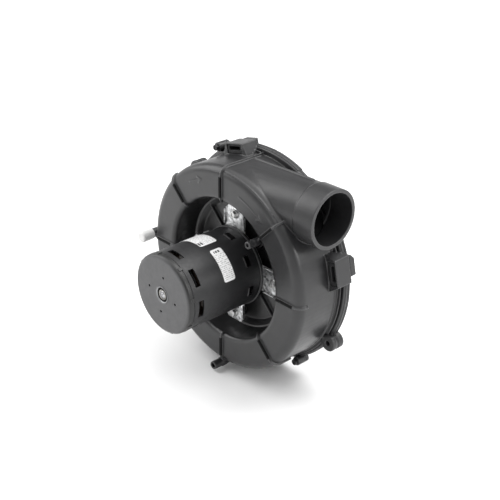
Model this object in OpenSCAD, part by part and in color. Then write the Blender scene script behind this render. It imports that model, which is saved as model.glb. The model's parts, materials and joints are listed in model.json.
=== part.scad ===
// Combustion fan: a draft inducer with a ring-shaped volute, a tapered outlet duct and a can motor.
// The shaft runs along Y. The motor points to -Y, the outlet to +X, and the rear gasket lies at Y = 0.
// A depth is measured backwards (+Y) from the ring's front face.

/* [Casing] */
// Depth from the ring's front face to the rear mounting plane
mount_depth = 72; // [70:1:76]
// Outer radius of the ring
casing_r = 112; // [110:0.5:113]
// Inner radius of the ring's front lip
lip_r = 76.5; // [75:0.5:78]
// Rounding of the ring's outer front edge
edge_round = 9; // [7:0.5:10]
// Rounding of the ring's inner lip
lip_round = 5; // [4:0.5:6]
// Casing wall thickness
wall = 2.5; // [2:0.1:3]
// Radius of the rear flange
flange_r = 118; // [117:0.5:119]
// Depth of the flange's front face
flange_d = 57; // [56:0.5:58]
// Depth of the joint between housing and rear cover
seam_d = 61; // [60.5:0.5:62]
// Height of the raised ribs on the ring
rib_h = 2.2; // [1.5:0.1:2.5]
// Width of the raised ribs on the ring
rib_w = 2; // [1.6:0.1:2.4]

/* [Motor well] */
// Radius of the step round the well's floor
well_rim_r = 70.5; // [69:0.5:71]
// Depth of that step
well_rim_d = 27; // [26:0.5:28]
// Depth of the well's floor
floor_d = 32; // [31:0.5:33]
// Pitch radius of the bracket posts
post_r = 57.6; // [56:0.2:59]

/* [Outlet duct] */
// Outer radius of the round collar
collar_r = 30.15; // [30:0.05:30.3]
// Bore radius of the collar
collar_bore_r = 26.2; // [25.5:0.1:26.6]
// Distance of the collar's mouth from the shaft
mouth_x = 116; // [114:0.5:118]
// Length of the collar
collar_len = 24; // [20:1:26]
// Height of the collar's axis above the shaft
mouth_z = 85; // [84:0.5:86]
// Depth of the collar's axis
mouth_d = 37.4; // [36.5:0.1:38]

/* [Motor] */
// Radius of the motor shell
motor_r = 42; // [41:0.25:43]
// How far the motor reaches in front of the ring
motor_front = 78; // [74:1:82]
// Depth of the motor's rear face
motor_rear_d = 19; // [18.5:0.5:19.5]
// Sheet thickness of the motor shell
sheet = 1.2; // [1:0.1:1.4]
// Shaft radius
shaft_r = 3.97; // [3.9:0.01:3.98]

/* [Fan wheel] */
// Radius of the fan wheel
wheel_r = 70; // [66:1:72]
// Number of blades
blade_count = 28; // [20:1:32]
// Depth of the wheel's back plate
wheel_front_d = 37; // [36.5:0.5:38]
// Width of the wheel
wheel_width = 20; // [18:0.5:20]

/* [Fastening] */
// Pitch radius of the cover screw bosses
boss_pitch_r = 121.5; // [121:0.5:122]
// Pitch radius of the mounting lugs
lug_pitch_r = 121.5; // [121:0.5:123]
// Radius of the mounting lugs
lug_r = 8.5; // [8:0.1:9]
// Radius of the mounting lug holes
lug_hole_r = 2.75; // [2.5:0.05:3]

/* [Hidden] */
fine = 120;
medium = 48;
small = 32;
rib_angles = [for (i = [0:7]) 45 * i];
arm_angles = [0, 90, 180, 270];
foot_angles = [102.5, 12.5];
foot_widths = [25, 28];
foot_ears = [[8, -12.5], [-8, 14]];
lug_angles = [-31, 146, 232];
boss_angles = [121, 175, 212, 258, 301];
drain_angle = -92.5;
spare_drain_angle = 180;
drain_pitch_r = casing_r + 4.8;
drain_r = 4.65;
drain_bore_r = 2.7;
drain_front_d = -8;
drain_seat = 11;
tap_angle = 45;
tap_pitch_r = 70.5;
tap_r = 3.85;
tap_bore_r = 1.85;
tap_front_d = -11;
tap_seat = 7.5;
foot_d = 41;
foot_out_r = 123.5;
foot_flare = 5;
ear_back_d = 68;
ear_corner = 4.5;
cover_back_d = 65;
seam_gap = 0.3;
seal_r = casing_r - 0.3;
inlet_r = 38;
duct_end_x = mouth_x - collar_len;
duct_end_r = 29;
clamp_len = 12;
collar_step = 0.5;
duct_start = [-8, 41, 92.3];
duct_front_start = [-8, 28, 92.3];
duct_start_r = 18.7;
bracket_d = motor_rear_d;
grommet_d = bracket_d + sheet;
post_d = grommet_d + 2;
motor_screw_r = 30;
hub_r = 9;

// ---- shared helpers ----

// Arc of points in a (radius, depth) profile
function arc(centre, r, from, to, steps) =
    [for (i = [0:steps])
        centre + r * [cos(from + (to - from) * i / steps), sin(from + (to - from) * i / steps)]];

function reversed(points) = [for (i = [len(points) - 1:-1:0]) points[i]];

// Solid of revolution about the shaft from (radius, depth) points
module lathe(points, sides = fine) {
    translate([0, -mount_depth, 0])
        rotate([-90, 0, 0])
            rotate_extrude($fn = sides)
                polygon(points);
}

// Ring or disc about the shaft
module ring(r_in, r_out, d0, d1, sides = fine) {
    lathe([[r_in, d0], [r_out, d0], [r_out, d1], [r_in, d1]], sides);
}

// Moves a shape from the shaft out to a radius, at an angle up from +X, in the plane of a depth
module polar(angle, radius, d = 0) {
    rotate([0, -angle, 0])
        translate([radius, d - mount_depth, 0])
            children();
}

// Bar along the shaft direction, starting at the local origin
module bar(r, length, sides = medium) {
    rotate([-90, 0, 0])
        cylinder(r = r, h = length, $fn = sides);
}

// Cone along the shaft direction
module cone(r1, r2, length, sides = medium) {
    rotate([-90, 0, 0])
        cylinder(r1 = r1, r2 = r2, h = length, $fn = sides);
}

// Block from low to high corner, with depth 0 at the local origin
module block(low, high) {
    translate(low)
        cube(high - low);
}

// Pie-shaped cutter about the shaft between two angles
module sector(a0, a1, r, d0, d1) {
    mid = (a0 + a1) / 2;
    translate([0, d0 - mount_depth, 0])
        rotate([-90, 0, 0])
            linear_extrude(height = d1 - d0)
                polygon([[0, 0], for (a = [a0, mid, a1]) [r * cos(a), -r * sin(a)]]);
}

// Hexagon flange-head screw pointing along +Y, its head seated at the local origin
module flange_screw(shank_r, shank_len, flange_r, head_r, head_h) {
    translate([0, -1, 0])
        bar(flange_r, 1, small);
    translate([0, -1 - head_h, 0])
        rotate([-90, 0, 0])
            cylinder(r = head_r, h = head_h, $fn = 6);
    bar(shank_r, shank_len, small);
}

// Cone between two points given as [x, depth, z]
module duct_cone(p0, p1, r0, r1) {
    run = p1 - p0;
    length = norm(run);
    translate([p0[0], p0[1] - mount_depth, p0[2]])
        rotate([0, acos(run[2] / length), atan2(run[1], run[0])])
            cylinder(r1 = r0, r2 = r1, h = length, $fn = fine);
}

// ---- casing ----

lip_centre = [lip_r + lip_round, lip_round];
edge_centre = [casing_r - edge_round, edge_round];

// Front face of the ring, offset outwards by e, from the lip to a depth on the side wall
function ring_front(e, side_d, lip_from = 180) = concat(
    arc(lip_centre, lip_round + e, lip_from, 270, 6),
    arc(edge_centre, edge_round + e, 270, 360, 8),
    [[casing_r + e, side_d]]
);

module casing_interior() {
    lathe(concat(
        [[0, seam_d + 8], [0, floor_d + wall],
            [well_rim_r - 3, floor_d + wall], [well_rim_r + wall, well_rim_d + wall]],
        ring_front(-wall, seam_d + 8)
    ));
}

// Ring, well and flange as one solid, hollowed later by casing_interior
module casing_body() {
    lathe(concat(
        [[0, seam_d], [0, floor_d], [well_rim_r - 5, floor_d], [well_rim_r, well_rim_d + 0.8],
         [well_rim_r + 0.8, well_rim_d], [well_rim_r + 2.5, well_rim_d]],
        ring_front(0, flange_d),
        [[flange_r - 1, flange_d], [flange_r, flange_d + 0.8], [flange_r, seam_d]]
    ));
}

// Raised rib from the lip over the outer edge to a depth on the side wall
module ring_rib(angle, tail_d) {
    intersection() {
        lathe(concat(ring_front(rib_h, tail_d, 205), reversed(ring_front(-1, tail_d, 205))));
        polar(angle, 0)
            block([50, -5, -rib_w / 2], [130, seam_d, rib_w / 2]);
    }
}

module ring_ribs() {
    for (angle = rib_angles) {
        ring_rib(angle, angle == 90 ? flange_d + 1 : (angle == 315 ? 24 : 11));
    }
}

module well_ribs() {
    for (angle = [45, 135, 225, 315]) {
        polar(angle, 0)
            block([16, floor_d - 4, -1], [well_rim_r + 1, floor_d + 1, 1]);
    }
}

module bracket_posts() {
    for (angle = arm_angles) {
        polar(angle, post_r, post_d)
            bar(5.5, floor_d + 1 - post_d, small);
    }
}

duct_end = [duct_end_x, mouth_d, mouth_z];

// Outer shape of the duct, oval where it leaves the ring and round at its collar, offset outwards by e
module duct_outside(e = 0) {
    for (start = [duct_start, duct_front_start])
        duct_cone(start, duct_end, duct_start_r + e, duct_end_r + e);
    translate([duct_end_x - 0.5 - e, mouth_d - mount_depth, mouth_z])
        rotate([0, 90, 0])
            cylinder(r = collar_r - collar_step + e, h = collar_len - clamp_len + 1.5, $fn = fine);
    translate([mouth_x - clamp_len, mouth_d - mount_depth, mouth_z])
        rotate([0, 90, 0])
            cylinder(r = collar_r + e, h = clamp_len + e, $fn = fine);
}

// The duct's inside starts clear of the well wall
module duct_inside() {
    start_r = duct_start_r + (duct_end_r - duct_start_r) * 0.38 - wall;
    for (start = [duct_start, duct_front_start])
        duct_cone(start + (duct_end - start) * 0.38, duct_end, start_r, collar_bore_r - 0.5);
    translate([duct_end_x - 4, mouth_d - mount_depth, mouth_z])
        rotate([0, 90, 0])
            cylinder(r = collar_bore_r, h = collar_len + 5, $fn = fine);
}

// Wall that closes the ring channel below the outlet
module cutoff_wall() {
    polar(27, 0) {
        block([lip_r + 3.5, 1.2, -1.5], [casing_r - 5, seam_d - 0.3, 1.5]);
        block([casing_r - 6, 8, -1.5], [casing_r - 1, seam_d - 0.3, 1.5]);
        block([lip_r + 0.7, 6, -1.5], [lip_r + 4, seam_d - 0.3, 1.5]);
        block([well_rim_r + 4.3, 20, -1.5], [lip_r + 1, seam_d - 0.3, 1.5]);
    }
}

module drain_outside(angle) {
    polar(angle, drain_pitch_r, drain_front_d)
        bar(drain_r, drain_seat + 0.5, small);
    polar(angle, drain_pitch_r, drain_front_d + drain_seat)
        bar(drain_r + 0.6, 6, small);
    polar(angle, drain_pitch_r, drain_front_d + drain_seat + 3)
        rotate([0, 0, 20])
            cone(drain_r + 0.4, 8, 15, small);
}

module drain_inside(angle) {
    polar(angle, drain_pitch_r, drain_front_d - 1)
        bar(drain_bore_r, 14, small);
    polar(angle, drain_pitch_r, 3)
        rotate([0, 0, 22])
            bar(drain_bore_r, 22, small);
}

// Foot that spreads towards the casing
module foot_box(angle, width) {
    polar(angle, 0)
        translate([0, seam_d, 0])
            rotate([90, 0, 0])
                linear_extrude(height = seam_d - foot_d)
                    polygon([
                        [casing_r - 8, -width / 2 - foot_flare], [casing_r, -width / 2 - foot_flare],
                        [foot_out_r, -width / 2], [foot_out_r, width / 2],
                        [casing_r, width / 2 + foot_flare], [casing_r - 8, width / 2 + foot_flare]
                    ]);
}

// Ear of the cover behind a foot, from one side of the foot to the other, its last corner cut back
module foot_ear(angle, from, to) {
    turn = to > from ? ear_corner : -ear_corner;
    polar(angle, 0)
        translate([casing_r, 0, 0])
            rotate([0, 90, 0])
                linear_extrude(height = foot_out_r - casing_r)
                    polygon([
                        [-from, seam_d + seam_gap], [-to, seam_d + seam_gap],
                        [-to, ear_back_d - ear_corner], [turn - to, ear_back_d], [-from, ear_back_d]
                    ]);
}

module foot_pocket(angle, width) {
    polar(angle, 0)
        block([casing_r + 0.5, foot_d - 1, 1.5 - width / 2],
            [foot_out_r - 1.5, seam_d - 3, width / 2 - 1.5]);
}

module lug(angle, d0, d1) {
    polar(angle, lug_pitch_r, d0)
        bar(lug_r, d1 - d0, medium);
    polar(angle, 0)
        block([casing_r - 1, d0 + 2, -5.5], [lug_pitch_r, d1 - 0.5, 5.5]);
}

module boss(angle, d0, d1) {
    polar(angle, boss_pitch_r, d0)
        bar(5, d1 - d0, small);
}

module lug_holes(d0, d1) {
    for (angle = lug_angles) {
        polar(angle, lug_pitch_r, d0)
            bar(lug_hole_r, d1 - d0, medium);
    }
}

module housing_outside() {
    casing_body();
    ring_ribs();
    duct_outside();
    for (angle = [drain_angle, spare_drain_angle]) drain_outside(angle);
    for (i = [0:1]) foot_box(foot_angles[i], foot_widths[i]);
    for (angle = lug_angles) lug(angle, 52, seam_d);
    for (angle = boss_angles) boss(angle, 51, seam_d);
    polar(tap_angle, tap_pitch_r, tap_front_d)
        bar(tap_r, tap_seat + 0.5, medium);
    polar(tap_angle, tap_pitch_r, tap_front_d + tap_seat)
        bar(tap_r + 0.4, floor_d + 1 - tap_front_d - tap_seat, medium);
}

module volute_housing() {
    color([0.33, 0.33, 0.34])
    difference() {
        union() {
            difference() {
                housing_outside();
                casing_interior();
                duct_inside();
            }
            well_ribs();
            bracket_posts();
            cutoff_wall();
        }
        for (i = [0:1]) foot_pocket(foot_angles[i], foot_widths[i]);
        for (angle = [drain_angle, spare_drain_angle]) drain_inside(angle);
        lug_holes(50, seam_d + 1);
        for (angle = boss_angles) polar(angle, boss_pitch_r, 50) bar(2.0, 13, small);
        for (angle = arm_angles) polar(angle, post_r, post_d - 1) bar(1.95, 10, small);
        polar(tap_angle, tap_pitch_r, tap_front_d - 1)
            bar(tap_bore_r, floor_d - tap_front_d + 6, medium);
        ring(0, 6, floor_d - 1, floor_d + 4, medium);
        ring(seal_r - 0.9, seal_r + 0.9, seam_d - 1.2, seam_d + 1);
    }
}

module rear_cover() {
    color([0.27, 0.27, 0.28])
    difference() {
        union() {
            lathe([
                [inlet_r, 58.5], [inlet_r + 1.5, 58], [inlet_r + 3, 58.5], [inlet_r + 4, seam_d],
                [flange_r - 1, seam_d], [flange_r - 1, seam_d + 0.6], [flange_r, seam_d + 1],
                [flange_r, cover_back_d - 1], [flange_r - 1, cover_back_d],
                [109.5, cover_back_d], [108, cover_back_d - 1.6], [62, cover_back_d - 1.6],
                [60, mount_depth - 2.5],
                [inlet_r + 5.5, mount_depth - 2.5], [inlet_r + 5.5, mount_depth - 0.5],
                [inlet_r + 5, mount_depth], [inlet_r, mount_depth]
            ]);
            for (i = [0:1]) foot_ear(foot_angles[i], foot_ears[i][0], foot_ears[i][1]);
            for (angle = lug_angles) lug(angle, seam_d + seam_gap, cover_back_d + 2);
            for (angle = boss_angles) boss(angle, seam_d + seam_gap, cover_back_d + 1);
            for (angle = rib_angles)
                polar(angle + 22.5, 0)
                    block([55, seam_d + 1, -1.25], [112, cover_back_d - 0.4, 1.25]);
        }
        intersection() {
            duct_outside(0.3);
            ring(casing_r - wall - 0.3, 140, seam_d - 1, seam_d + 10);
        }
        lug_holes(seam_d - 1, cover_back_d + 3);
        for (angle = boss_angles) polar(angle, boss_pitch_r, seam_d - 1) bar(2.0, 8, small);
    }
}

module cover_seal() {
    color([0.08, 0.08, 0.08])
        ring(seal_r - 0.85, seal_r + 0.85, seam_d - 1.2, seam_d);
}

module inlet_gasket() {
    color([0.12, 0.12, 0.12])
        ring(inlet_r + 6, 58.5, mount_depth - 2.5, mount_depth);
}

module cover_screws() {
    color([0.15, 0.15, 0.15])
    for (angle = boss_angles) {
        polar(angle, boss_pitch_r, 51)
            flange_screw(1.9, 16.5, 4.4, 3.5, 2.6);
    }
}

// Rubber block in a foot, with the slot for the hanger tongue and a relief groove beside it
module foot_isolator(angle, width) {
    color([0.1, 0.1, 0.1])
    difference() {
        polar(angle, 0)
            block([casing_r + 0.5, foot_d + 0.8, 1.5 - width / 2],
                [foot_out_r - 1.5, seam_d - 3, width / 2 - 1.5]);
        polar(angle, 0)
            block([116, foot_d, -8], [120, seam_d - 5, 8]);
    }
}

module top_foot_isolator() {
    foot_isolator(foot_angles[0], foot_widths[0]);
}

module side_foot_isolator() {
    foot_isolator(foot_angles[1], foot_widths[1]);
}

module drain_cap() {
    cap_r = 6.4;
    cap_back_d = 1;
    cap_front_d = -15;
    color([0.95, 0.95, 0.93])
        polar(spare_drain_angle, drain_pitch_r, 0)
            rotate([-90, 0, 0])
                rotate_extrude($fn = medium)
                    polygon([
                        [0, cap_front_d], [cap_r - 2, cap_front_d], [cap_r - 0.6, cap_front_d + 0.6],
                        [cap_r, cap_front_d + 2], [cap_r - 0.4, cap_back_d], [drain_r + 0.05, cap_back_d],
                        [drain_r + 0.05, drain_front_d], [0, drain_front_d]
                    ]);
}

// ---- motor ----

cap_seam_d = -motor_front + 7;

module motor_end_cap() {
    front = -motor_front;
    edge = 3.5;
    color([0.45, 0.45, 0.46])
    difference() {
        lathe(concat(
            [[7.5, front + 0.6], [8.2, front], [8.6, front - 0.4], [9.4, front - 0.4], [9.8, front]],
            arc([motor_r - edge, front + edge], edge, 270, 360, 6),
            [[motor_r, cap_seam_d], [motor_r - sheet, cap_seam_d]],
            reversed(arc([motor_r - edge, front + edge], edge - sheet, 270, 360, 6)),
            [[11, front + sheet], [10.6, front + 12],
                [9.4, front + 12], [9.4, front + 2], [7.5, front + 2]]
        ));
        for (angle = arm_angles) polar(angle - 8, 20, front - 1) bar(1.25, 3, small);
    }
}

module motor_shell() {
    color([0.2, 0.2, 0.21])
    difference() {
        lathe([
            [motor_r - sheet, cap_seam_d], [motor_r - 0.4, cap_seam_d], [motor_r, cap_seam_d + 0.4],
            [motor_r, motor_rear_d - 3.2], [motor_r + 1.2, motor_rear_d - 2.6],
            [motor_r + 1.2, motor_rear_d - 1.4],
            [motor_r - sheet, motor_rear_d - 1.4]
        ]);
        for (i = [0:7]) {
            sector(-18.5 + 45 * i, 7 + 45 * i, 60, -65.8, -59.5);
            sector(-20.5 + 45 * i, -4.5 + 45 * i, 60, 0.5, 7);
        }
    }
}

module motor_rear_bell() {
    face = motor_rear_d - 1.4;
    color([0.2, 0.2, 0.21])
    difference() {
        lathe([
            [5, face], [motor_r + 1.2, face], [motor_r + 1.2, motor_rear_d], [10.6, motor_rear_d],
            [5, motor_rear_d]
        ]);
        for (i = [0:3]) polar(45 + 90 * i, motor_screw_r, face - 1) bar(2, 5, small);
    }
    color([0.2, 0.2, 0.21])
        ring(9.3, 10.6, face - 11, face, medium);
}

module stator_core() {
    color([0.35, 0.33, 0.32])
    difference() {
        ring(24.3, motor_r - sheet - 0.05, -48, -8);
        for (i = [0:23]) {
            polar(15 * i + 7.5, 0)
                block([23, -49, -1.1], [33, -7, 1.1]);
        }
    }
}

module stator_windings() {
    color([0.72, 0.4, 0.2]) {
        lathe([[26, -48], [34, -48], [37, -50], [37, -55], [35, -57], [28, -57], [26, -55]]);
        lathe([[26, -8], [34, -8], [37, -6], [37, -1], [35, 1], [28, 1], [26, -1]]);
    }
}

// Self-aligning sleeve bearing with its middle at the local origin
module sleeve_bearing(nose_from, nose_to) {
    rotate([-90, 0, 0])
        rotate_extrude($fn = medium)
            polygon(concat(
                [[shaft_r + 0.03, nose_from], [5.4, nose_from]],
                [for (a = [-40:10:40]) [8.2 * cos(a), 8.2 * sin(a) * 0.78]],
                [[5.4, nose_to], [shaft_r + 0.03, nose_to]]
            ));
}

module front_bearing() {
    color([0.75, 0.72, 0.66])
        polar(0, 0, -motor_front + 7.5)
            sleeve_bearing(-7, 6);
}

module rear_bearing() {
    color([0.75, 0.72, 0.66])
        polar(0, 0, motor_rear_d - 7)
            sleeve_bearing(-6, 5.4);
}

// Spring cup that holds a bearing in its hub
module front_bearing_retainer() {
    color("silver")
        ring(6.8, 9.3, -motor_front + 11.4, -motor_front + 12, medium);
}

module rear_bearing_retainer() {
    color("silver")
        ring(6.4, 9.2, motor_rear_d - 12.6, motor_rear_d - 12, medium);
}

module front_oil_felt() {
    color([0.85, 0.8, 0.65])
        ring(8.3, 9.3, -motor_front + 3, -motor_front + 11.3, medium);
}

module rear_oil_felt() {
    color([0.85, 0.8, 0.65])
        ring(8.3, 9.2, motor_rear_d - 11.8, motor_rear_d - 3, medium);
}

// Sticker wrapped on the motor shell
module shell_label(a0, a1, d0, d1) {
    intersection() {
        ring(motor_r, motor_r + 0.25, d0, d1);
        sector(a0, a1, 80, d0 - 1, d1 + 1);
    }
}

module top_label() {
    color("white")
        shell_label(78, 128, -35, -13);
}

module side_label() {
    color("white")
        shell_label(17, 66, -31, -17);
}

// ---- motor suspension ----

module motor_bracket() {
    arm_half = 14.5;
    arm_end = 66;
    color([0.72, 0.74, 0.75])
    difference() {
        union() {
            ring(12, motor_r + 0.6, bracket_d, bracket_d + sheet);
            for (angle = arm_angles) {
                polar(angle, 0) {
                    translate([0, bracket_d, 0])
                        rotate([-90, 0, 0])
                            linear_extrude(height = sheet)
                                polygon([
                                    [40, -arm_half], [arm_end - 5, -arm_half], [arm_end, 5 - arm_half],
                                    [arm_end, arm_half - 5], [arm_end - 5, arm_half], [40, arm_half]
                                ]);
                    for (side = [-1, 1])
                        translate([0, bracket_d - 2.2, side * (arm_half - sheet / 2) - sheet / 2])
                            cube([arm_end - 6, 2.2 + sheet, sheet]);
                }
            }
        }
        ring(0, 46, bracket_d - 5, bracket_d);
        ring(0, 12, bracket_d - 1, bracket_d + 3);
        for (angle = arm_angles) polar(angle, post_r, bracket_d - 1) bar(2.2, 4, small);
        for (i = [0:3]) polar(45 + 90 * i, motor_screw_r, bracket_d - 1) bar(2, 4, small);
    }
}

module bracket_screws() {
    color("silver")
    for (angle = arm_angles) {
        polar(angle, post_r, bracket_d)
            flange_screw(1.9, 11, 4.8, 3.7, 3);
    }
}

module bracket_grommets() {
    color([0.1, 0.1, 0.1])
    for (angle = arm_angles) {
        polar(angle, post_r, grommet_d)
            difference() {
                bar(6.5, 2, small);
                translate([0, -1, 0]) bar(2.1, 4, small);
            }
    }
}

module motor_screws() {
    color("silver")
    for (i = [0:3]) {
        polar(45 + 90 * i, motor_screw_r, grommet_d) {
            bar(3.8, 2.4, small);
            translate([0, -5, 0]) bar(1.9, 5, small);
        }
    }
}

module shaft_seal() {
    color([0.3, 0.12, 0.08])
        ring(shaft_r + 0.06, 10, floor_d - 2.5, floor_d, medium);
}

// ---- rotor ----

module motor_shaft() {
    color([0.8, 0.8, 0.8])
        lathe([[0, -motor_front + 0.4], [shaft_r - 0.5, -motor_front + 0.4], [shaft_r, -motor_front + 0.9],
               [shaft_r, 51.5], [shaft_r - 0.5, 52], [0, 52]], medium);
}

module rotor_core() {
    color([0.5, 0.5, 0.52]) {
        ring(shaft_r, 24, -47, -9);
        ring(16, 23, -51, -47);
        ring(16, 23, -9, -5);
    }
}

module motor_cooling_fan() {
    color([0.15, 0.15, 0.16]) {
        ring(shaft_r, 8, -60.5, -54, medium);
        ring(7, 36, -60.5, -59.3);
        for (i = [0:11]) {
            polar(30 * i, 0, -64.8)
                block([14, 0, -0.6], [36, 4.6, 0.6]);
        }
    }
}

module slinger_disc() {
    color([0.75, 0.75, 0.77]) {
        ring(shaft_r, 7, 23.5, 28, medium);
        ring(6, 24, 25, 26);
    }
}

module impeller_wheel() {
    back = wheel_front_d + wheel_width;
    color([0.6, 0.62, 0.64]) {
        ring(hub_r, wheel_r, wheel_front_d, wheel_front_d + 1.2);
        ring(wheel_r - 16, wheel_r, back - 1, back);
        for (i = [0:blade_count - 1]) {
            polar(360 / blade_count * i, wheel_r - 11.5, wheel_front_d + 0.6)
                rotate([0, 32, 0])
                    translate([-11, 0, -0.5])
                        cube([22, wheel_width - 1.1, 1]);
        }
    }
}

module impeller_hub() {
    color([0.8, 0.7, 0.4])
    difference() {
        union() {
            ring(shaft_r, hub_r, wheel_front_d, 50, medium);
            ring(hub_r - 1, 14, wheel_front_d + 1.2, wheel_front_d + 3.2, medium);
        }
        translate([0, 46 - mount_depth, 0])
            cylinder(r = 2, h = 20, $fn = small);
    }
}

module impeller_hub_screw() {
    color("dimgray")
        translate([0, 46 - mount_depth, shaft_r])
            cylinder(r = 1.95, h = 6, $fn = small);
}

volute_housing();
rear_cover();
cover_seal();
inlet_gasket();
cover_screws();
top_foot_isolator();
side_foot_isolator();
drain_cap();
motor_end_cap();
motor_shell();
motor_rear_bell();
stator_core();
stator_windings();
front_bearing();
rear_bearing();
front_bearing_retainer();
rear_bearing_retainer();
front_oil_felt();
rear_oil_felt();
top_label();
side_label();
motor_bracket();
bracket_screws();
bracket_grommets();
motor_screws();
shaft_seal();
motor_shaft();
rotor_core();
motor_cooling_fan();
slinger_disc();
impeller_wheel();
impeller_hub();
impeller_hub_screw();
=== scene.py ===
"""Looks of the combustion fan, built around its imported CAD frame. Units are metres, in the row frame."""
import json
import math

import bmesh
import bpy
from mathutils import Matrix, Vector

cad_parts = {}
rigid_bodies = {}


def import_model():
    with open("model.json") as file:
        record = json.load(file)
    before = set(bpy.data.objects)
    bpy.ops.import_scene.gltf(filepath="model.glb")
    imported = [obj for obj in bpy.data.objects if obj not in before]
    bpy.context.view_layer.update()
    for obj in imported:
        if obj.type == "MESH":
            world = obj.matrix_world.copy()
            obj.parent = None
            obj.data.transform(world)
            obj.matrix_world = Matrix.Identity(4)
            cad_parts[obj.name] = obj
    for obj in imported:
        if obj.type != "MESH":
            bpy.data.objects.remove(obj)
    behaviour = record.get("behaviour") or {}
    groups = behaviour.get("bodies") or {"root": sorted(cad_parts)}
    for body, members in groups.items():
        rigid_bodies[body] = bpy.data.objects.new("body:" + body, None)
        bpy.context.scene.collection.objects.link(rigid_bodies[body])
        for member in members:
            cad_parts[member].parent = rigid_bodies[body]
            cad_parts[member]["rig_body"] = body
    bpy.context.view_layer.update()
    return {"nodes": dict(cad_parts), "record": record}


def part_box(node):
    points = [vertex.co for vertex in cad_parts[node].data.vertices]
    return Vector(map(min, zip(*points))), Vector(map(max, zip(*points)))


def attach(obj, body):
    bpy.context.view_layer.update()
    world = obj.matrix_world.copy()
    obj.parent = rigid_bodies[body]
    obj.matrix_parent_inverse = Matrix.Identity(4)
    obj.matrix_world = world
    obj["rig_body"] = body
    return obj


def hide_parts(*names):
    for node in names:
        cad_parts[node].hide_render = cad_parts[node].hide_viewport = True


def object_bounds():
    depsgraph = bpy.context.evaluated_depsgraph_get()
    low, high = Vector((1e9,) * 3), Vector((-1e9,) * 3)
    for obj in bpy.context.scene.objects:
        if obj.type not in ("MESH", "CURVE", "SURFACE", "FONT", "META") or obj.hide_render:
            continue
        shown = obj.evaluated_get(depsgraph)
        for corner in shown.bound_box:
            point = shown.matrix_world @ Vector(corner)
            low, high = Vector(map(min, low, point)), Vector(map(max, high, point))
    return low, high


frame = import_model()
nodes = frame["nodes"]

MM = 0.001
# Depths are measured backwards from the ring's front plane. The wheel's front disc lies 37 mm behind it.
RING_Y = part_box("impeller_wheel")[0].y - 37 * MM
# Radii of the ring and of the motor's shell, in millimetres
CASING_R = 112
MOTOR_R = 42
# Eight ribs cross the ring's face, and the motor has eight tabs and eight rear vents.
EIGHTHS = [45 * k for k in range(8)]


def at(angle, radius, depth):
    """Point in metres from an angle up from +X in degrees, a radius and a depth in millimetres."""
    a = math.radians(angle)
    return Vector((radius * MM * math.cos(a), RING_Y + depth * MM, radius * MM * math.sin(a)))


# ---- materials ----

MATERIALS = {}


class Nodes:
    """A new material's node tree, with short ways to add and join nodes."""

    def __init__(self, name):
        self.material = bpy.data.materials.new(name)
        self.material.use_nodes = True
        self.tree = self.material.node_tree
        self.shader = self.tree.nodes["Principled BSDF"]
        self.place = self.add("ShaderNodeTexCoord").outputs["Object"]

    def add(self, kind, **settings):
        node = self.tree.nodes.new(kind)
        for key, value in settings.items():
            setattr(node, key, value)
        return node

    def join(self, source, target):
        self.tree.links.new(source, target)

    def noise(self, size_mm, detail=3.0, stretch=(1, 1, 1)):
        """Noise from 0 to 1 whose blobs are about size_mm across."""
        mapping = self.add("ShaderNodeMapping")
        mapping.inputs["Scale"].default_value = stretch
        self.join(self.place, mapping.inputs["Vector"])
        noise = self.add("ShaderNodeTexNoise")
        noise.inputs["Scale"].default_value = 1 / (size_mm * MM)
        noise.inputs["Detail"].default_value = detail
        self.join(mapping.outputs["Vector"], noise.inputs["Vector"])
        return noise.outputs["Fac"]

    def spread(self, value, low, high):
        """The middle of a noise, from 0.3 to 0.7, mapped to low up to high."""
        ranged = self.add("ShaderNodeMapRange")
        ranged.inputs["From Min"].default_value = 0.3
        ranged.inputs["From Max"].default_value = 0.7
        ranged.inputs["To Min"].default_value = low
        ranged.inputs["To Max"].default_value = high
        self.join(value, ranged.inputs["Value"])
        return ranged.outputs["Result"]

    def blend(self, share, first, second):
        """A colour that goes from first to second with share. Each is a colour or a socket."""
        mix = self.add("ShaderNodeMix", data_type="RGBA")
        self.join(share, mix.inputs["Factor"])
        for socket, value in ((mix.inputs[6], first), (mix.inputs[7], second)):
            if isinstance(value, bpy.types.NodeSocket):
                self.join(value, socket)
            else:
                socket.default_value = (*value, 1)
        return mix.outputs[2]

    def hollow_shade_edge_light(self, colour, hollow_shade, edge):
        """The colour, going darker in hollows as painted shade and lighter along edges as a painted
        highlight.
        """
        shape = self.add("ShaderNodeNewGeometry").outputs["Pointiness"]
        # Pointiness is 0.5 on a flat face. Each colour starts near it and is full at the second value.
        # The first colour is painted shade in hollows, the second a painted highlight along edges.
        for flat, full, other in ((0.492, 0.45, hollow_shade), (0.508, 0.56, edge)):
            ranged = self.add("ShaderNodeMapRange")
            ranged.inputs["From Min"].default_value = flat
            ranged.inputs["From Max"].default_value = full
            self.join(shape, ranged.inputs["Value"])
            colour = self.blend(ranged.outputs["Result"], colour, other)
        return colour

    def bump(self, height, depth_mm):
        bump = self.add("ShaderNodeBump")
        bump.inputs["Distance"].default_value = depth_mm * MM
        bump.inputs["Strength"].default_value = 1
        self.join(height, bump.inputs["Height"])
        self.join(bump.outputs["Normal"], self.shader.inputs["Normal"])

    def set(self, **values):
        for key, value in values.items():
            self.shader.inputs[key.replace("_", " ")].default_value = value


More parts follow.
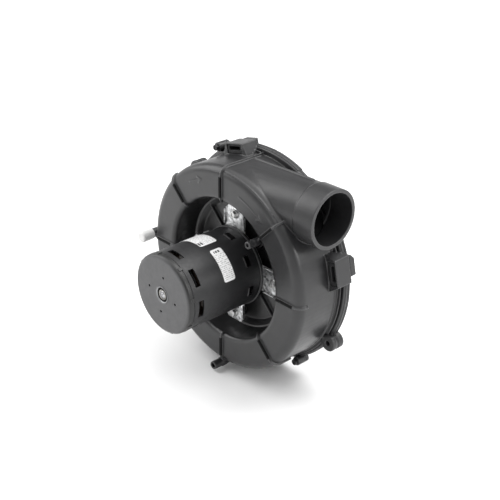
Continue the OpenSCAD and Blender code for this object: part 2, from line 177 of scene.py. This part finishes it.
def grained(name, colour, other, roughness, grain_mm, grain_depth_mm, patch_mm=14, hollow_shade_edge_light=(), **settings):
    """A surface with colour patches, varying roughness and a fine grain, and if asked for, painted shade in
    hollows and painted highlights along edges.
    """
    m = Nodes(name)
    tone = m.blend(m.spread(m.noise(patch_mm, 4), 0, 1), colour, other)
    m.join(m.hollow_shade_edge_light(tone, *hollow_shade_edge_light) if hollow_shade_edge_light else tone, m.shader.inputs["Base Color"])
    m.join(m.spread(m.noise(patch_mm / 3, 5), *roughness), m.shader.inputs["Roughness"])
    m.bump(m.noise(grain_mm, 2), grain_depth_mm)
    m.set(**settings)
    MATERIALS[name] = m.material


def paint_with_shaded_sides(name, face, other, side, roughness):
    """Paint with a fine grain, in two tones on what faces forwards, to -Y, and in a much darker third on
    the sides, as painted shade.
    """
    m = Nodes(name)
    facing = m.add("ShaderNodeSeparateXYZ")
    m.join(m.add("ShaderNodeTexCoord").outputs["Normal"], facing.inputs["Vector"])
    # The side colour, mixed in by the facing direction, is painted shade.
    share = m.add("ShaderNodeMapRange")
    share.inputs["From Min"].default_value = -0.93
    share.inputs["From Max"].default_value = -0.6
    m.join(facing.outputs["Y"], share.inputs["Value"])
    m.join(m.blend(share.outputs["Result"], m.blend(m.spread(m.noise(9, 4), 0, 1), face, other), side),
           m.shader.inputs["Base Color"])
    m.join(m.spread(m.noise(3, 5), *roughness), m.shader.inputs["Roughness"])
    m.bump(m.noise(0.55, 2), 0.02)
    MATERIALS[name] = m.material


def brushed_metal(name, colour, other, roughness, brush_mm, stretch=(1, 1, 1)):
    """A metal with fine marks, which lie closer along an axis where stretch is above 1."""
    m = Nodes(name)
    marks = m.noise(brush_mm, 3, stretch)
    m.join(m.blend(m.spread(m.noise(9, 3), 0, 1), colour, other), m.shader.inputs["Base Color"])
    m.join(m.spread(marks, *roughness), m.shader.inputs["Roughness"])
    m.bump(marks, 0.006)
    m.set(Metallic=1.0)
    MATERIALS[name] = m.material


def galvanised(name):
    """Hot-dip zinc: crystals a few millimetres wide, each with its own tone and shine."""
    m = Nodes(name)
    cells = m.add("ShaderNodeTexVoronoi")
    cells.inputs["Scale"].default_value = 1 / (3.2 * MM)
    m.join(m.place, cells.inputs["Vector"])
    tone = m.add("ShaderNodeSeparateColor")
    m.join(cells.outputs["Color"], tone.inputs["Color"])
    zinc = m.blend(tone.outputs["Red"], (0.24, 0.245, 0.25), (0.8, 0.805, 0.81))
    m.join(zinc, m.shader.inputs["Base Color"])
    shine = m.add("ShaderNodeMapRange")
    shine.inputs["To Min"].default_value = 0.28
    shine.inputs["To Max"].default_value = 0.55
    m.join(tone.outputs["Green"], shine.inputs["Value"])
    m.join(shine.outputs["Result"], m.shader.inputs["Roughness"])
    m.bump(m.noise(0.8, 3), 0.01)
    m.set(Metallic=1.0)
    MATERIALS[name] = m.material


# Millimetres on a label for one unit of its map
LABEL_MAP = 100


def printed_label(name):
    """White film with rows of plain grey dashes and a few bold bars, in the mesh's own map."""
    m = Nodes(name)
    place = m.add("ShaderNodeUVMap", uv_map="place")
    split = m.add("ShaderNodeSeparateXYZ")
    m.join(place.outputs["UV"], split.inputs["Vector"])

    def math_node(operation, first, second):
        node = m.add("ShaderNodeMath", operation=operation)
        for socket, value in zip(node.inputs, (first, second)):
            if isinstance(value, bpy.types.NodeSocket):
                m.join(value, socket)
            else:
                socket.default_value = value
        return node.outputs["Value"]

    def between(value, low_mm, high_mm):
        return math_node("MULTIPLY", math_node("GREATER_THAN", value, low_mm / LABEL_MAP),
                         math_node("LESS_THAN", value, high_mm / LABEL_MAP))

    def stripes(value, pitch_mm, test, share):
        repeats = math_node("MULTIPLY", value, LABEL_MAP / pitch_mm)
        return math_node(test, math_node("FRACT", repeats, 0), share)

    across, along = split.outputs["X"], split.outputs["Y"]
    word = m.add("ShaderNodeTexNoise", noise_dimensions="2D")
    word.inputs["Scale"].default_value = 50
    word.inputs["Detail"].default_value = 1
    m.join(place.outputs["UV"], word.inputs["Vector"])
    dashes = math_node("GREATER_THAN", word.outputs["Fac"], 0.48)
    rows = stripes(across, 1.9, "LESS_THAN", 0.5)
    small_print = math_node("MULTIPLY", between(across, 2, 30), math_node("MULTIPLY", rows, dashes))
    heading = math_node("MULTIPLY", between(across, 31.2, 33.6), between(along, 3, 11))
    mark = math_node("MULTIPLY", between(across, 2, 7), between(along, 16, 23.5))
    bars = stripes(along, 3, "GREATER_THAN", 0.3)
    bold = math_node("MULTIPLY", math_node("MAXIMUM", heading, mark), bars)
    inked = math_node("MAXIMUM", math_node("MULTIPLY", small_print, 0.45), bold)
    paper = m.blend(m.spread(m.noise(16), 0, 1), (0.76, 0.76, 0.76), (0.82, 0.82, 0.82))
    m.join(m.blend(inked, paper, (0.04, 0.04, 0.042)), m.shader.inputs["Base Color"])
    m.join(m.spread(m.noise(5), 0.34, 0.42), m.shader.inputs["Roughness"])
    m.bump(m.noise(2.5), 0.008)
    m.set(Coat_Weight=0.15)
    MATERIALS[name] = m.material


def wound_wire(name):
    """Enamelled copper wire laid side by side round a coil."""
    m = Nodes(name)
    radial = m.add("ShaderNodeTexWave", wave_type="RINGS", rings_direction="Y", wave_profile="SIN")
    radial.inputs["Scale"].default_value = 1 / (2.6 * MM)
    radial.inputs["Distortion"].default_value = 1.5
    m.join(m.place, radial.inputs["Vector"])
    wire = m.blend(radial.outputs["Fac"], (0.010, 0.006, 0.004), (0.05, 0.024, 0.012))
    m.join(wire, m.shader.inputs["Base Color"])
    m.join(m.spread(m.noise(3), 0.25, 0.45), m.shader.inputs["Roughness"])
    m.bump(radial.outputs["Fac"], 0.3)
    m.set(Metallic=0.7, Coat_Weight=0.3)
    MATERIALS[name] = m.material


def laminated(name):
    """Steel sheets stacked along the shaft."""
    m = Nodes(name)
    sheets = m.add("ShaderNodeTexWave", wave_type="BANDS", bands_direction="Y", wave_profile="TRI")
    sheets.inputs["Scale"].default_value = 1 / (6.3 * MM)
    sheets.inputs["Distortion"].default_value = 0.3
    m.join(m.place, sheets.inputs["Vector"])
    steel = m.blend(sheets.outputs["Fac"], (0.1, 0.095, 0.09), (0.36, 0.35, 0.34))
    m.join(steel, m.shader.inputs["Base Color"])
    m.join(m.spread(m.noise(4), 0.35, 0.6), m.shader.inputs["Roughness"])
    m.bump(sheets.outputs["Fac"], 0.12)
    m.set(Metallic=0.85)
    MATERIALS[name] = m.material


# Both plastics get painted shade in their hollows and painted highlights along their edges.
grained("housing_plastic", (0.016, 0.016, 0.017), (0.022, 0.022, 0.023), (0.29, 0.37), 0.7, 0.025, 18,
        hollow_shade_edge_light=((0.003, 0.003, 0.003), (0.06, 0.06, 0.062)))
grained("cover_plastic", (0.013, 0.013, 0.014), (0.019, 0.019, 0.020), (0.36, 0.46), 0.8, 0.035, 18,
        hollow_shade_edge_light=((0.003, 0.003, 0.003), (0.05, 0.05, 0.052)))
grained("seal_rubber", (0.004, 0.004, 0.004), (0.008, 0.008, 0.008), (0.6, 0.75), 0.5, 0.03, 6,
        Specular_IOR_Level=0.12)
grained("gasket_foam", (0.012, 0.012, 0.013), (0.030, 0.030, 0.031), (0.85, 0.95), 0.9, 0.25, 5)
grained("screw_black", (0.014, 0.014, 0.015), (0.028, 0.028, 0.029), (0.28, 0.4), 0.4, 0.015, 3,
        Metallic=0.4)
brushed_metal("screw_zinc", (0.42, 0.42, 0.42), (0.56, 0.56, 0.55), (0.25, 0.42), 0.5)
grained("isolator_rubber", (0.007, 0.007, 0.008), (0.013, 0.013, 0.014), (0.6, 0.75), 0.6, 0.05, 5)
grained("cap_vinyl", (0.62, 0.62, 0.61), (0.7, 0.7, 0.69), (0.4, 0.5), 0.8, 0.02, 7, Coat_Weight=0.05)
# The near-black side colour of the end cap is painted shade.
paint_with_shaded_sides("motor_end_paint", (0.050, 0.050, 0.052), (0.064, 0.064, 0.066), (0.008, 0.008, 0.008),
             (0.34, 0.46))
grained("motor_shell_paint", (0.007, 0.007, 0.008), (0.012, 0.012, 0.013), (0.38, 0.5), 0.6, 0.02, 10)
grained("bell_paint", (0.008, 0.008, 0.009), (0.013, 0.013, 0.014), (0.36, 0.48), 0.6, 0.02, 8)
laminated("lamination_steel")
wound_wire("copper_wire")
brushed_metal("bearing_bronze", (0.15, 0.145, 0.135), (0.36, 0.35, 0.33), (0.3, 0.45), 0.3)
brushed_metal("spring_steel", (0.4, 0.4, 0.42), (0.52, 0.52, 0.54), (0.25, 0.4), 0.4, (1, 8, 1))
grained("oil_felt", (0.42, 0.36, 0.24), (0.6, 0.54, 0.4), (0.85, 0.95), 0.4, 0.2, 2)
printed_label("label_film")
galvanised("galvanised_sheet")
grained("grommet_rubber", (0.010, 0.010, 0.010), (0.018, 0.018, 0.018), (0.55, 0.7), 0.5, 0.03, 4)
grained("seal_silicone", (0.2, 0.035, 0.02), (0.28, 0.05, 0.03), (0.4, 0.55), 0.5, 0.02, 4)
brushed_metal("shaft_steel", (0.36, 0.36, 0.37), (0.46, 0.46, 0.47), (0.2, 0.34), 0.3, (1, 10, 1))
brushed_metal("rotor_iron", (0.3, 0.3, 0.31), (0.42, 0.41, 0.4), (0.3, 0.5), 0.4, (1, 10, 1))
grained("fan_nylon", (0.012, 0.012, 0.013), (0.02, 0.02, 0.022), (0.42, 0.55), 0.6, 0.03, 8)
brushed_metal("slinger_aluminium", (0.66, 0.67, 0.69), (0.78, 0.79, 0.8), (0.25, 0.4), 0.3)
brushed_metal("wheel_steel", (0.24, 0.245, 0.25), (0.32, 0.325, 0.33), (0.3, 0.45), 0.8)
brushed_metal("hub_brass", (0.62, 0.5, 0.24), (0.74, 0.62, 0.32), (0.22, 0.36), 0.3)
brushed_metal("hub_screw_steel", (0.1, 0.1, 0.11), (0.16, 0.16, 0.17), (0.3, 0.45), 0.3)

SLOT_OF = {part["node"]: part["material_slot"] for part in frame["record"]["subparts"]}


# ---- mesh helpers ----


def built(bm):
    """A mesh from a bmesh, with its faces turned outwards."""
    bmesh.ops.recalc_face_normals(bm, faces=bm.faces)
    mesh = bpy.data.meshes.new("part")
    bm.to_mesh(mesh)
    bm.free()
    return mesh


def bridge(bm, near, far):
    """Joins two closed rings of vertices with a band of faces."""
    for j in range(len(near)):
        k = (j + 1) % len(near)
        bm.faces.new((near[j], near[k], far[k], far[j]))


def turned(profile, start=0, end=360, step=2.5):
    """A closed outline of (radius, depth) points in millimetres, turned about the shaft."""
    whole = end - start >= 360
    count = max(3, math.ceil((end - start) / step))
    bm = bmesh.new()
    rings = []
    for i in range(count if whole else count + 1):
        angle = start + (end - start) * i / count
        rings.append([bm.verts.new(at(angle, r, d)) for r, d in profile])
    for near, far in zip(rings, rings[1:] + ([rings[0]] if whole else [])):
        bridge(bm, near, far)
    if not whole:
        bm.faces.new(rings[0])
        bm.faces.new(rings[-1])
    return built(bm)


def slab(angle, low, high):
    """A block from low to high, as (radius, depth, sideways) in millimetres, turned to an angle."""
    bm = bmesh.new()
    bmesh.ops.create_cube(bm, size=1)
    turn = Matrix.Rotation(-math.radians(angle), 4, "Y")
    for v in bm.verts:
        r, d, side = (a + (b - a) * (c + 0.5) for a, b, c in zip(low, high, (v.co.x, v.co.y, v.co.z)))
        v.co = turn @ Vector((r * MM, 0, side * MM)) + Vector((0, RING_Y + d * MM, 0))
    return built(bm)


def loft(sections):
    """A closed skin over rings of points with the same count, capped at both ends."""
    bm = bmesh.new()
    rings = [[bm.verts.new(p) for p in section] for section in sections]
    for near, far in zip(rings, rings[1:]):
        bridge(bm, near, far)
    bm.faces.new(rings[0])
    bm.faces.new(rings[-1])
    return built(bm)


def tube(outer, inner):
    """A closed wall between two rows of sections, each with the same count of points."""
    bm = bmesh.new()
    skins = [[[bm.verts.new(p) for p in section] for section in row] for row in (outer, inner)]
    for skin in skins:
        for near, far in zip(skin, skin[1:]):
            bridge(bm, near, far)
    for end in (0, -1):
        bridge(bm, skins[0][end], skins[1][end])
    return built(bm)


def circle(centre, axis, radius, count=64):
    """Points round a circle, given in metres."""
    turn = axis.to_track_quat("Z", "Y")
    steps = (math.tau * i / count for i in range(count))
    return [centre + turn @ Vector((radius * math.cos(a), radius * math.sin(a), 0)) for a in steps]


def merged_mesh(meshes):
    """One mesh that holds the faces of several."""
    bm = bmesh.new()
    for mesh in meshes:
        bm.from_mesh(mesh)
    bmesh.ops.remove_doubles(bm, verts=bm.verts, dist=1e-7)
    mesh = bpy.data.meshes.new("merged")
    bm.to_mesh(mesh)
    bm.free()
    return mesh


def islands(node):
    """The (low, high) box of each separate solid of a CAD node, left to right."""
    bm = bmesh.new()
    bm.from_mesh(nodes[node].data)
    bmesh.ops.remove_doubles(bm, verts=bm.verts, dist=1e-7)
    left, boxes = set(bm.verts), []
    while left:
        todo, seen = [left.pop()], []
        while todo:
            v = todo.pop()
            seen.append(v.co.copy())
            for edge in v.link_edges:
                other = edge.other_vert(v)
                if other in left:
                    left.remove(other)
                    todo.append(other)
        boxes.append((Vector(map(min, *seen)), Vector(map(max, *seen))))
    bm.free()
    return sorted(boxes, key=lambda box: (round(box[0].x, 4), round(box[0].z, 4)))


def polar_span(node):
    """The angles in degrees and depths in millimetres that a CAD node on the motor's skin covers."""
    points = [v.co for v in nodes[node].data.vertices]
    angles = [math.degrees(math.atan2(p.z, p.x)) for p in points]
    depths = [(p.y - RING_Y) / MM for p in points]
    return min(angles), max(angles), min(depths), max(depths)


def new_piece(name, mesh, body, *stands_for, slot=None):
    """Adds a mesh as a piece on a body. It takes the slot of the CAD node it stands for, or its own."""
    piece = bpy.data.objects.new(name, mesh)
    bpy.context.scene.collection.objects.link(piece)
    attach(piece, body)
    if stands_for:
        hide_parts(*stands_for)
    slot = slot or SLOT_OF[stands_for[0]]
    mesh.materials.clear()
    mesh.materials.append(MATERIALS[slot])
    return piece


def after_modifiers(mesh, steps):
    """A copy of a mesh after modifiers, given as (type, settings)."""
    work = bpy.data.objects.new("work", mesh.copy())
    bpy.context.scene.collection.objects.link(work)
    for kind, settings in steps:
        modifier = work.modifiers.new(kind.lower(), kind)
        for key, value in settings.items():
            setattr(modifier, key, value)
    evaluated = work.evaluated_get(bpy.context.evaluated_depsgraph_get())
    made = bpy.data.meshes.new_from_object(evaluated)
    bpy.data.objects.remove(work)
    return made


def softened(solids, voxel_mm, rounds, keep=1.0):
    """Solids joined into one skin with moulded edges: rebuilt on a fine grid, smoothed and thinned out."""
    steps = [
        ("REMESH", {"mode": "VOXEL", "voxel_size": voxel_mm * MM}),
        ("SMOOTH", {"factor": 0.5, "iterations": rounds}),
    ]
    if keep < 1:
        steps.append(("DECIMATE", {"ratio": keep}))
    mesh = after_modifiers(merged_mesh(solids), steps)
    mesh.shade_smooth()
    return mesh


def soften_node(name, node, voxel_mm, rounds, keep=1.0, extras=()):
    """A piece that stands for a CAD node, with moulded edges and any extra shapes grown into it."""
    body = nodes[node]["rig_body"]
    return new_piece(name, softened([nodes[node].data, *extras], voxel_mm, rounds, keep), body, node)


def creased(mesh, degrees=35):
    """Shades a mesh smooth, except across edges sharper than an angle."""
    mesh.shade_smooth()
    mesh.set_sharp_from_angle(angle=math.radians(degrees))
    return mesh


# ---- housing ----


# The duct in the CAD runs between these (x, depth, z) points in millimetres, from one radius to the other.
# Its front half starts further forward than its back half.
DUCT_START, DUCT_END = Vector((-8, 41, 92.3)), Vector((92, 37.4, 85))
DUCT_FRONT = Vector((-8, 28, 92.3))
DUCT_START_R, DUCT_END_R = 18.7, 29
# Depth of the ring's rounded edge, where the skin starts, and the thickness of the duct's wall
EDGE_DEPTH, DUCT_WALL = 2.5, 0.8
DUCT_STEPS, DUCT_SIDES = 10, 96


def duct_point(x, depth, z):
    return Vector((x * MM, RING_Y + depth * MM, z * MM))


def duct_skin():
    """Skin of the outlet duct: it grows out of the ring's edge and turns round at the collar."""
    outer, inner = [], []
    for share in (i / DUCT_STEPS for i in range(DUCT_STEPS + 1)):
        x = DUCT_START.x + (DUCT_END.x - DUCT_START.x) * share
        radius = DUCT_START_R + (DUCT_END_R - DUCT_START_R) * share
        back = DUCT_START.lerp(DUCT_END, share)
        front = DUCT_FRONT.lerp(DUCT_END, share)
        low_z, high_z = back.z - radius, CASING_R + (DUCT_END.z + DUCT_END_R - CASING_R) * share
        low_d = EDGE_DEPTH + (DUCT_END.y - DUCT_END_R - EDGE_DEPTH) * share
        high_d = back.y + radius
        bore_r = radius - DUCT_WALL
        outline, bore = [], []
        for k in range(DUCT_SIDES):
            a = math.tau * k / DUCT_SIDES
            c, t = math.cos(a), math.sin(a)
            depth = back.y + (back.y - low_d if c < 0 else high_d - back.y) * c
            z = (low_z + high_z) / 2 + (high_z - low_z) / 2 * t
            outline.append(duct_point(x, depth, z))
            middle = back if c > 0 else front
            bore.append(duct_point(x, middle.y + bore_r * c, middle.z + bore_r * t))
        outer.append(outline)
        inner.append(bore)
    return tube(outer, inner)


def duct_crest():
    """A low ridge along the top of the duct, where its round front meets its flatter back."""
    outline = ((40.8, -1), (42.4, 1.4), (43.6, 1.4), (45.2, -1), (43, -3))
    return loft([[duct_point(x, depth, top + rise) for depth, rise in outline]
                 for x, top in ((3.5, 112.2), (40, 112.9), (84, 113.7))])


def collar_sleeve():
    """Brings the collar between the duct and the clamp's seat out to the seat's size."""
    axis = Vector((1, 0, 0))
    places = [duct_point(x, DUCT_END.y, DUCT_END.z) for x in (91.4, 92.2, 105)]
    outer = [circle(place, axis, r * MM, 96) for place, r in zip(places, (29.2, 30.15, 30.15))]
    return tube(outer, [circle(place, axis, 28.6 * MM, 96) for place in places])


def side_beads():
    """Beads on the side wall in front of the flange, from the top rib round to the duct."""
    return [turned([(110, d), (r, d + 0.3), (r, d + w - 0.3), (110, d + w)], 90, 385) for r, d, w in
            ((115.6, 53.6, 1.8), (113.4, 49.6, 1.2))]


def edge_bead():
    """A sharper line along the ring's outer edge, where the duct grows out of it."""
    return turned([(108.2, 2.6), (109.4, 1.4), (110.6, 2.6), (109.4, 3.8)], 46, 88)


def rim_beads():
    """Two beads round the cover's rim, with a groove between them, open where the duct passes."""
    return [turned([(116, d), (118.9, d), (119, d + 0.2), (119, d + w - 0.2), (118.9, d + w), (116, d + w)],
                   66, 391) for d, w in ((58.5, 2.4), (62.5, 2.2))]


def rib_shade_strips():
    """Dark strips that cover the ribs where they cross the ring's flat face, as painted shade along the
    ribs.
    """
    return [slab(angle, (81.5, -2.4, -1.2), (103.5, -0.2, 1.2)) for angle in EIGHTHS]


# Directions of the mounting lugs from the shaft, and the distance of their holes from it
LUG_ANGLES = (-31, 146, 232)
LUG_PITCH_R = 121.5


def lug_collars(low, high):
    """Raised bands round the mounting lugs, between two depths."""
    axis = Vector((0, 1, 0))
    bands = []
    for angle in LUG_ANGLES:
        ends = [at(angle, LUG_PITCH_R, depth) for depth in (low, high)]
        bands.append(tube(*([circle(end, axis, r * MM) for end in ends] for r in (9.2, 7.6))))
    return bands


def moulded_marks():
    """Raised flow marks on the ring's face: a long arc with a hooked head, and a short one."""
    width, foot_d, top_d = 1, 0.8, -0.45
    front, back = Vector((0, top_d * MM, 0)), Vector((0, foot_d * MM, 0))
    marks = []
    for start, end, radius in ((52, 74, 93), (108, 120, 96)):
        outline = [(radius, foot_d), (radius, top_d), (radius + width, top_d), (radius + width, foot_d)]
        marks.append(turned(outline, start, end))
        for side in (-1, 1):
            tip = at(start, radius + width / 2, 0)
            tail = at(start + 3.5, radius + width / 2 + 3.2 * side, 0)
            across = (tail - tip).normalized().cross(Vector((0, 1, 0))) * width / 2 * MM
            ends = [[p + across + front, p - across + front, p - across + back, p + across + back]
                    for p in (tip, tail)]
            marks.append(loft(ends))
    return marks


soften_node("housing_moulding", "volute_housing", 0.62, 2, 0.31,
            [duct_skin(), duct_crest(), collar_sleeve(), edge_bead(), *side_beads(), *moulded_marks(),
             *lug_collars(52.4, 56.6)])
soften_node("rear_cover_moulding", "rear_cover", 0.7, 2, 0.35,
            [*rim_beads(), *lug_collars(59.8, 66.4)])
# Near-black strips over the ribs stand in for their shade: painted shade.
new_piece("ring_rib_shade_strips", softened(rib_shade_strips(), 0.3, 2, 0.3), "frame", slot="seal_rubber")
soften_node("inlet_gasket_foam", "inlet_gasket", 0.6, 6, 0.6)
soften_node("drain_cap_vinyl", "drain_cap", 0.4, 6, 0.6)
soften_node("top_isolator_rubber", "top_foot_isolator", 0.4, 4, 0.6)
soften_node("side_isolator_rubber", "side_foot_isolator", 0.4, 4, 0.6)

# ---- motor ----


def crimp_tabs():
    """Tabs of the shell folded over the edge of the end cap."""
    return [slab(12 + angle, (41.2, -75, -1.8), (42.8, -70.4, 1.8)) for angle in EIGHTHS]


def vent_lips():
    """Folded lips at the front edge of the shell's rear vents."""
    return [slab(angle - 12.5, (41.3, -0.4, -5.2), (43, 0.5, 5.2)) for angle in EIGHTHS]


soften_node("motor_end_cap_pressing", "motor_end_cap", 0.4, 2, 0.3)
new_piece("motor_vent_lips", softened(vent_lips(), 0.3, 2), "frame", slot="motor_end_paint")
# Small rings on the motor's front: name, body, slot, outline, and the angles each starts and ends at
for name, body, slot, outline, start, end in (
    ("bearing_dust_shield", "frame", "seal_rubber",
     [(5.6, -77.1), (5.7, -77.2), (7.3, -77.2), (7.5, -77), (7.5, -76.2), (5.6, -76.2)], 0, 360),
    ("bearing_seat_rim", "frame", "wheel_steel",
     [(7.6, -77.6), (8, -78.2), (8.4, -78.38), (8.8, -78.3), (9.7, -77.9), (9.7, -77.6)], 0, 360),
    ("shaft_end_groove", "rotor", "hub_screw_steel",
     [(2.3, -77.7), (3, -77.7), (3, -77.4), (2.3, -77.4)], 20, 310),
    ("shaft_end_centre", "rotor", "hub_screw_steel",
     [(0.05, -77.72), (0.7, -77.72), (0.7, -77.4), (0.05, -77.4)], 0, 360),
):
    new_piece(name, creased(turned(outline, start, end), 40), body, slot=slot)
new_piece("motor_crimp_tabs", softened(crimp_tabs(), 0.3, 2), "frame", slot="motor_end_paint")
seam_outline = [(41, -71.3), (42.15, -71.3), (42.3, -71), (42.15, -70.7), (41, -70.7)]
new_piece("motor_seam", creased(turned(seam_outline)), "frame", slot="motor_shell_paint")


def shell_label(name, node):
    """A thin sticker with rounded corners, wrapped on the motor."""
    a0, a1, d0, d1 = polar_span(node)
    mid, half, corner = (a0 + a1) / 2, math.radians((a1 - a0) / 2) * MOTOR_R, 2.2
    columns, rows = 40, 40
    bm = bmesh.new()
    layer = bm.loops.layers.uv.new("place")
    where, faces, skins = {}, [], []
    for radius in (MOTOR_R + 0.03, MOTOR_R + 0.2):
        grid = []
        for i in range(columns + 1):
            depth = d0 + (d1 - d0) * (1 - math.cos(math.pi * i / columns)) / 2
            inset = max(0.0, corner - min(depth - d0, d1 - depth))
            reach = half - corner + math.sqrt(max(0.0, corner ** 2 - inset ** 2))
            line = []
            for j in range(rows + 1):
                s = reach * (2 * j / rows - 1)
                v = bm.verts.new(at(mid + math.degrees(s / MOTOR_R), radius, depth))
                where[v] = ((s + half) / LABEL_MAP, (d1 - depth) / LABEL_MAP)
                line.append(v)
            grid.append(line)
        skins.append(grid)
    for grid in skins:
        for i in range(columns):
            for j in range(rows):
                corners = (grid[i][j], grid[i + 1][j], grid[i + 1][j + 1], grid[i][j + 1])
                faces.append(bm.faces.new(corners))
    inner, outer = skins
    for i in range(columns):
        for j in (0, rows):
            faces.append(bm.faces.new((inner[i][j], inner[i + 1][j], outer[i + 1][j], outer[i][j])))
    for j in range(rows):
        for i in (0, columns):
            faces.append(bm.faces.new((inner[i][j], inner[i][j + 1], outer[i][j + 1], outer[i][j])))
    for face in faces:
        for loop in face.loops:
            loop[layer].uv = where[loop.vert]
    new_piece(name, creased(built(bm)), "frame", node)


shell_label("top_label_film", "top_label")
shell_label("side_label_film", "side_label")

# ---- screws and bracket ----


def hex_screw(seat, flange_r, head_r, head_h, shank_r, shank_len):
    """A flange-head screw that points along +Y, its flange against seat. Sizes are in millimetres."""
    count, rings = 36, []

    def ring(radius_of, back_of):
        points = []
        for i in range(count):
            a = math.tau * i / count
            r = radius_of(a)
            points.append(seat + Vector((r * math.cos(a), back_of(r), r * math.sin(a))) * MM)
        rings.append(points)

    def hexagon(a):
        return head_r * math.cos(math.pi / 6) / math.cos((a + math.pi / 6) % (math.pi / 3) - math.pi / 6)

    flat = head_r * 0.84
    ring(lambda a: shank_r * 0.6, lambda r: shank_len)
    ring(lambda a: shank_r, lambda r: shank_len - 0.6)
    ring(lambda a: shank_r, lambda r: 0)
    ring(lambda a: flange_r, lambda r: 0)
    ring(lambda a: flange_r, lambda r: -0.5)
    ring(lambda a: flange_r - 0.4, lambda r: -0.9)
    ring(hexagon, lambda r: -1.1)
    ring(hexagon, lambda r: -1 - head_h + max(0, r - flat) * 0.6)
    ring(lambda a: flat, lambda r: -1 - head_h)
    ring(lambda a: flat * 0.7, lambda r: -1 - head_h)
    ring(lambda a: flat * 0.6, lambda r: -0.4 - head_h)
    return loft(rings)


def screws(name, node, flange_r, head_r, head_h, shank_r):
    """Detailed screws in the places of a node's solids, each as long as its own."""
    made = []
    for low, high in islands(node):
        middle = (low + high) / 2
        seat_y = low.y + (1 + head_h) * MM
        made.append(hex_screw(Vector((middle.x, seat_y, middle.z)), flange_r, head_r, head_h, shank_r,
                              (high.y - seat_y) / MM))
    new_piece(name, creased(merged_mesh(made), 25), "frame", node)


screws("cover_screw_set", "cover_screws", 4.3, 3.5, 2.6, 1.9)
screws("bracket_screw_set", "bracket_screws", 4.7, 3.7, 3.0, 1.9)
soften_node("bracket_pressing", "motor_bracket", 0.4, 2, 0.35)

for node_name, thing in nodes.items():
    thing.data.materials.clear()
    thing.data.materials.append(MATERIALS[SLOT_OF[node_name]])

# ---- stage ----


def add_floor():
    """Pale floor under the lowest point of the object."""
    bm = bmesh.new()
    bmesh.ops.create_grid(bm, x_segments=1, y_segments=1, size=15)
    mesh = bpy.data.meshes.new("floor")
    bm.to_mesh(mesh)
    bm.free()
    floor = bpy.data.objects.new("floor", mesh)
    floor.location.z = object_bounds()[0].z - 0.2 * MM
    bpy.context.scene.collection.objects.link(floor)
    m = Nodes("floor_paper")
    paper = m.blend(m.spread(m.noise(60), 0, 1), (0.88, 0.88, 0.88), (0.9, 0.9, 0.9))
    m.join(paper, m.shader.inputs["Base Color"])
    m.set(Roughness=0.9)
    mesh.materials.append(m.material)


def direction(azimuth, elevation):
    """Unit vector from an azimuth, from -Y to +X, and an elevation, both in radians."""
    return Vector((math.sin(azimuth) * math.cos(elevation), -math.cos(azimuth) * math.cos(elevation),
                   math.sin(elevation)))


def add_light(name, azimuth, elevation, distance, size, power):
    """A square soft light that faces the ring. Its azimuth goes from -Y, where the motor points, to +X."""
    data = bpy.data.lights.new(name, "AREA")
    data.size = size
    data.energy = power
    light = bpy.data.objects.new(name, data)
    away = direction(math.radians(azimuth), math.radians(elevation))
    light.location = Vector((0, RING_Y, 0)) + away * distance
    light.rotation_mode = "QUATERNION"
    light.rotation_quaternion = away.to_track_quat("Z", "Y")
    bpy.context.scene.collection.objects.link(light)


def add_sky(strength, spread):
    """An even light from straight above, as wide as a softbox tent."""
    data = bpy.data.lights.new("sky", "SUN")
    data.energy = strength
    data.angle = math.radians(spread)
    light = bpy.data.objects.new("sky", data)
    bpy.context.scene.collection.objects.link(light)


def add_camera():
    """Camera at the photograph's angle, level but for a slight roll."""
    azimuth, elevation, roll = (math.radians(x) for x in (48.40, 27.93, -0.26))
    distance, lens = 0.9782, 68.30
    back = direction(azimuth, elevation)
    right = Vector((math.cos(azimuth), math.sin(azimuth), 0))
    up = back.cross(right)
    data = bpy.data.cameras.new("camera")
    data.lens = lens
    data.sensor_width = 36
    data.shift_x = 0.0575
    data.shift_y = 0.04
    data.clip_start = 0.02
    camera = bpy.data.objects.new("camera", data)
    level = Matrix((right, up, back)).transposed()
    camera.rotation_mode = "QUATERNION"
    camera.rotation_quaternion = (level @ Matrix.Rotation(roll, 3, "Z")).to_quaternion()
    camera.location = Vector((0, RING_Y, 0)) + back * distance
    bpy.context.scene.collection.objects.link(camera)
    bpy.context.scene.camera = camera


def add_world():
    """White near the horizon, so that the floor's far edge doesn't show, and dimmer above it."""
    world = bpy.data.worlds.new("studio")
    world.use_nodes = True
    tree = world.node_tree
    background = tree.nodes["Background"]
    background.inputs["Color"].default_value = (1, 1, 1, 1)
    split = tree.nodes.new("ShaderNodeSeparateXYZ")
    tree.links.new(tree.nodes.new("ShaderNodeTexCoord").outputs["Generated"], split.inputs["Vector"])
    strength = tree.nodes.new("ShaderNodeMapRange")
    strength.inputs["From Min"].default_value = 0.18
    strength.inputs["From Max"].default_value = 0.34
    strength.inputs["To Min"].default_value = 1.0
    strength.inputs["To Max"].default_value = 0.45
    tree.links.new(split.outputs["Z"], strength.inputs["Value"])
    tree.links.new(strength.outputs["Result"], background.inputs["Strength"])
    bpy.context.scene.world = world


add_floor()
add_sky(2.3, 80)
add_light("key", -62, 36, 1.1, 0.8, 6.5)
add_light("right", 112, 26, 1.4, 0.6, 6)
add_light("back", 160, 55, 1.4, 0.8, 8)
add_world()
add_camera()
bpy.context.scene.view_settings.view_transform = "Standard"
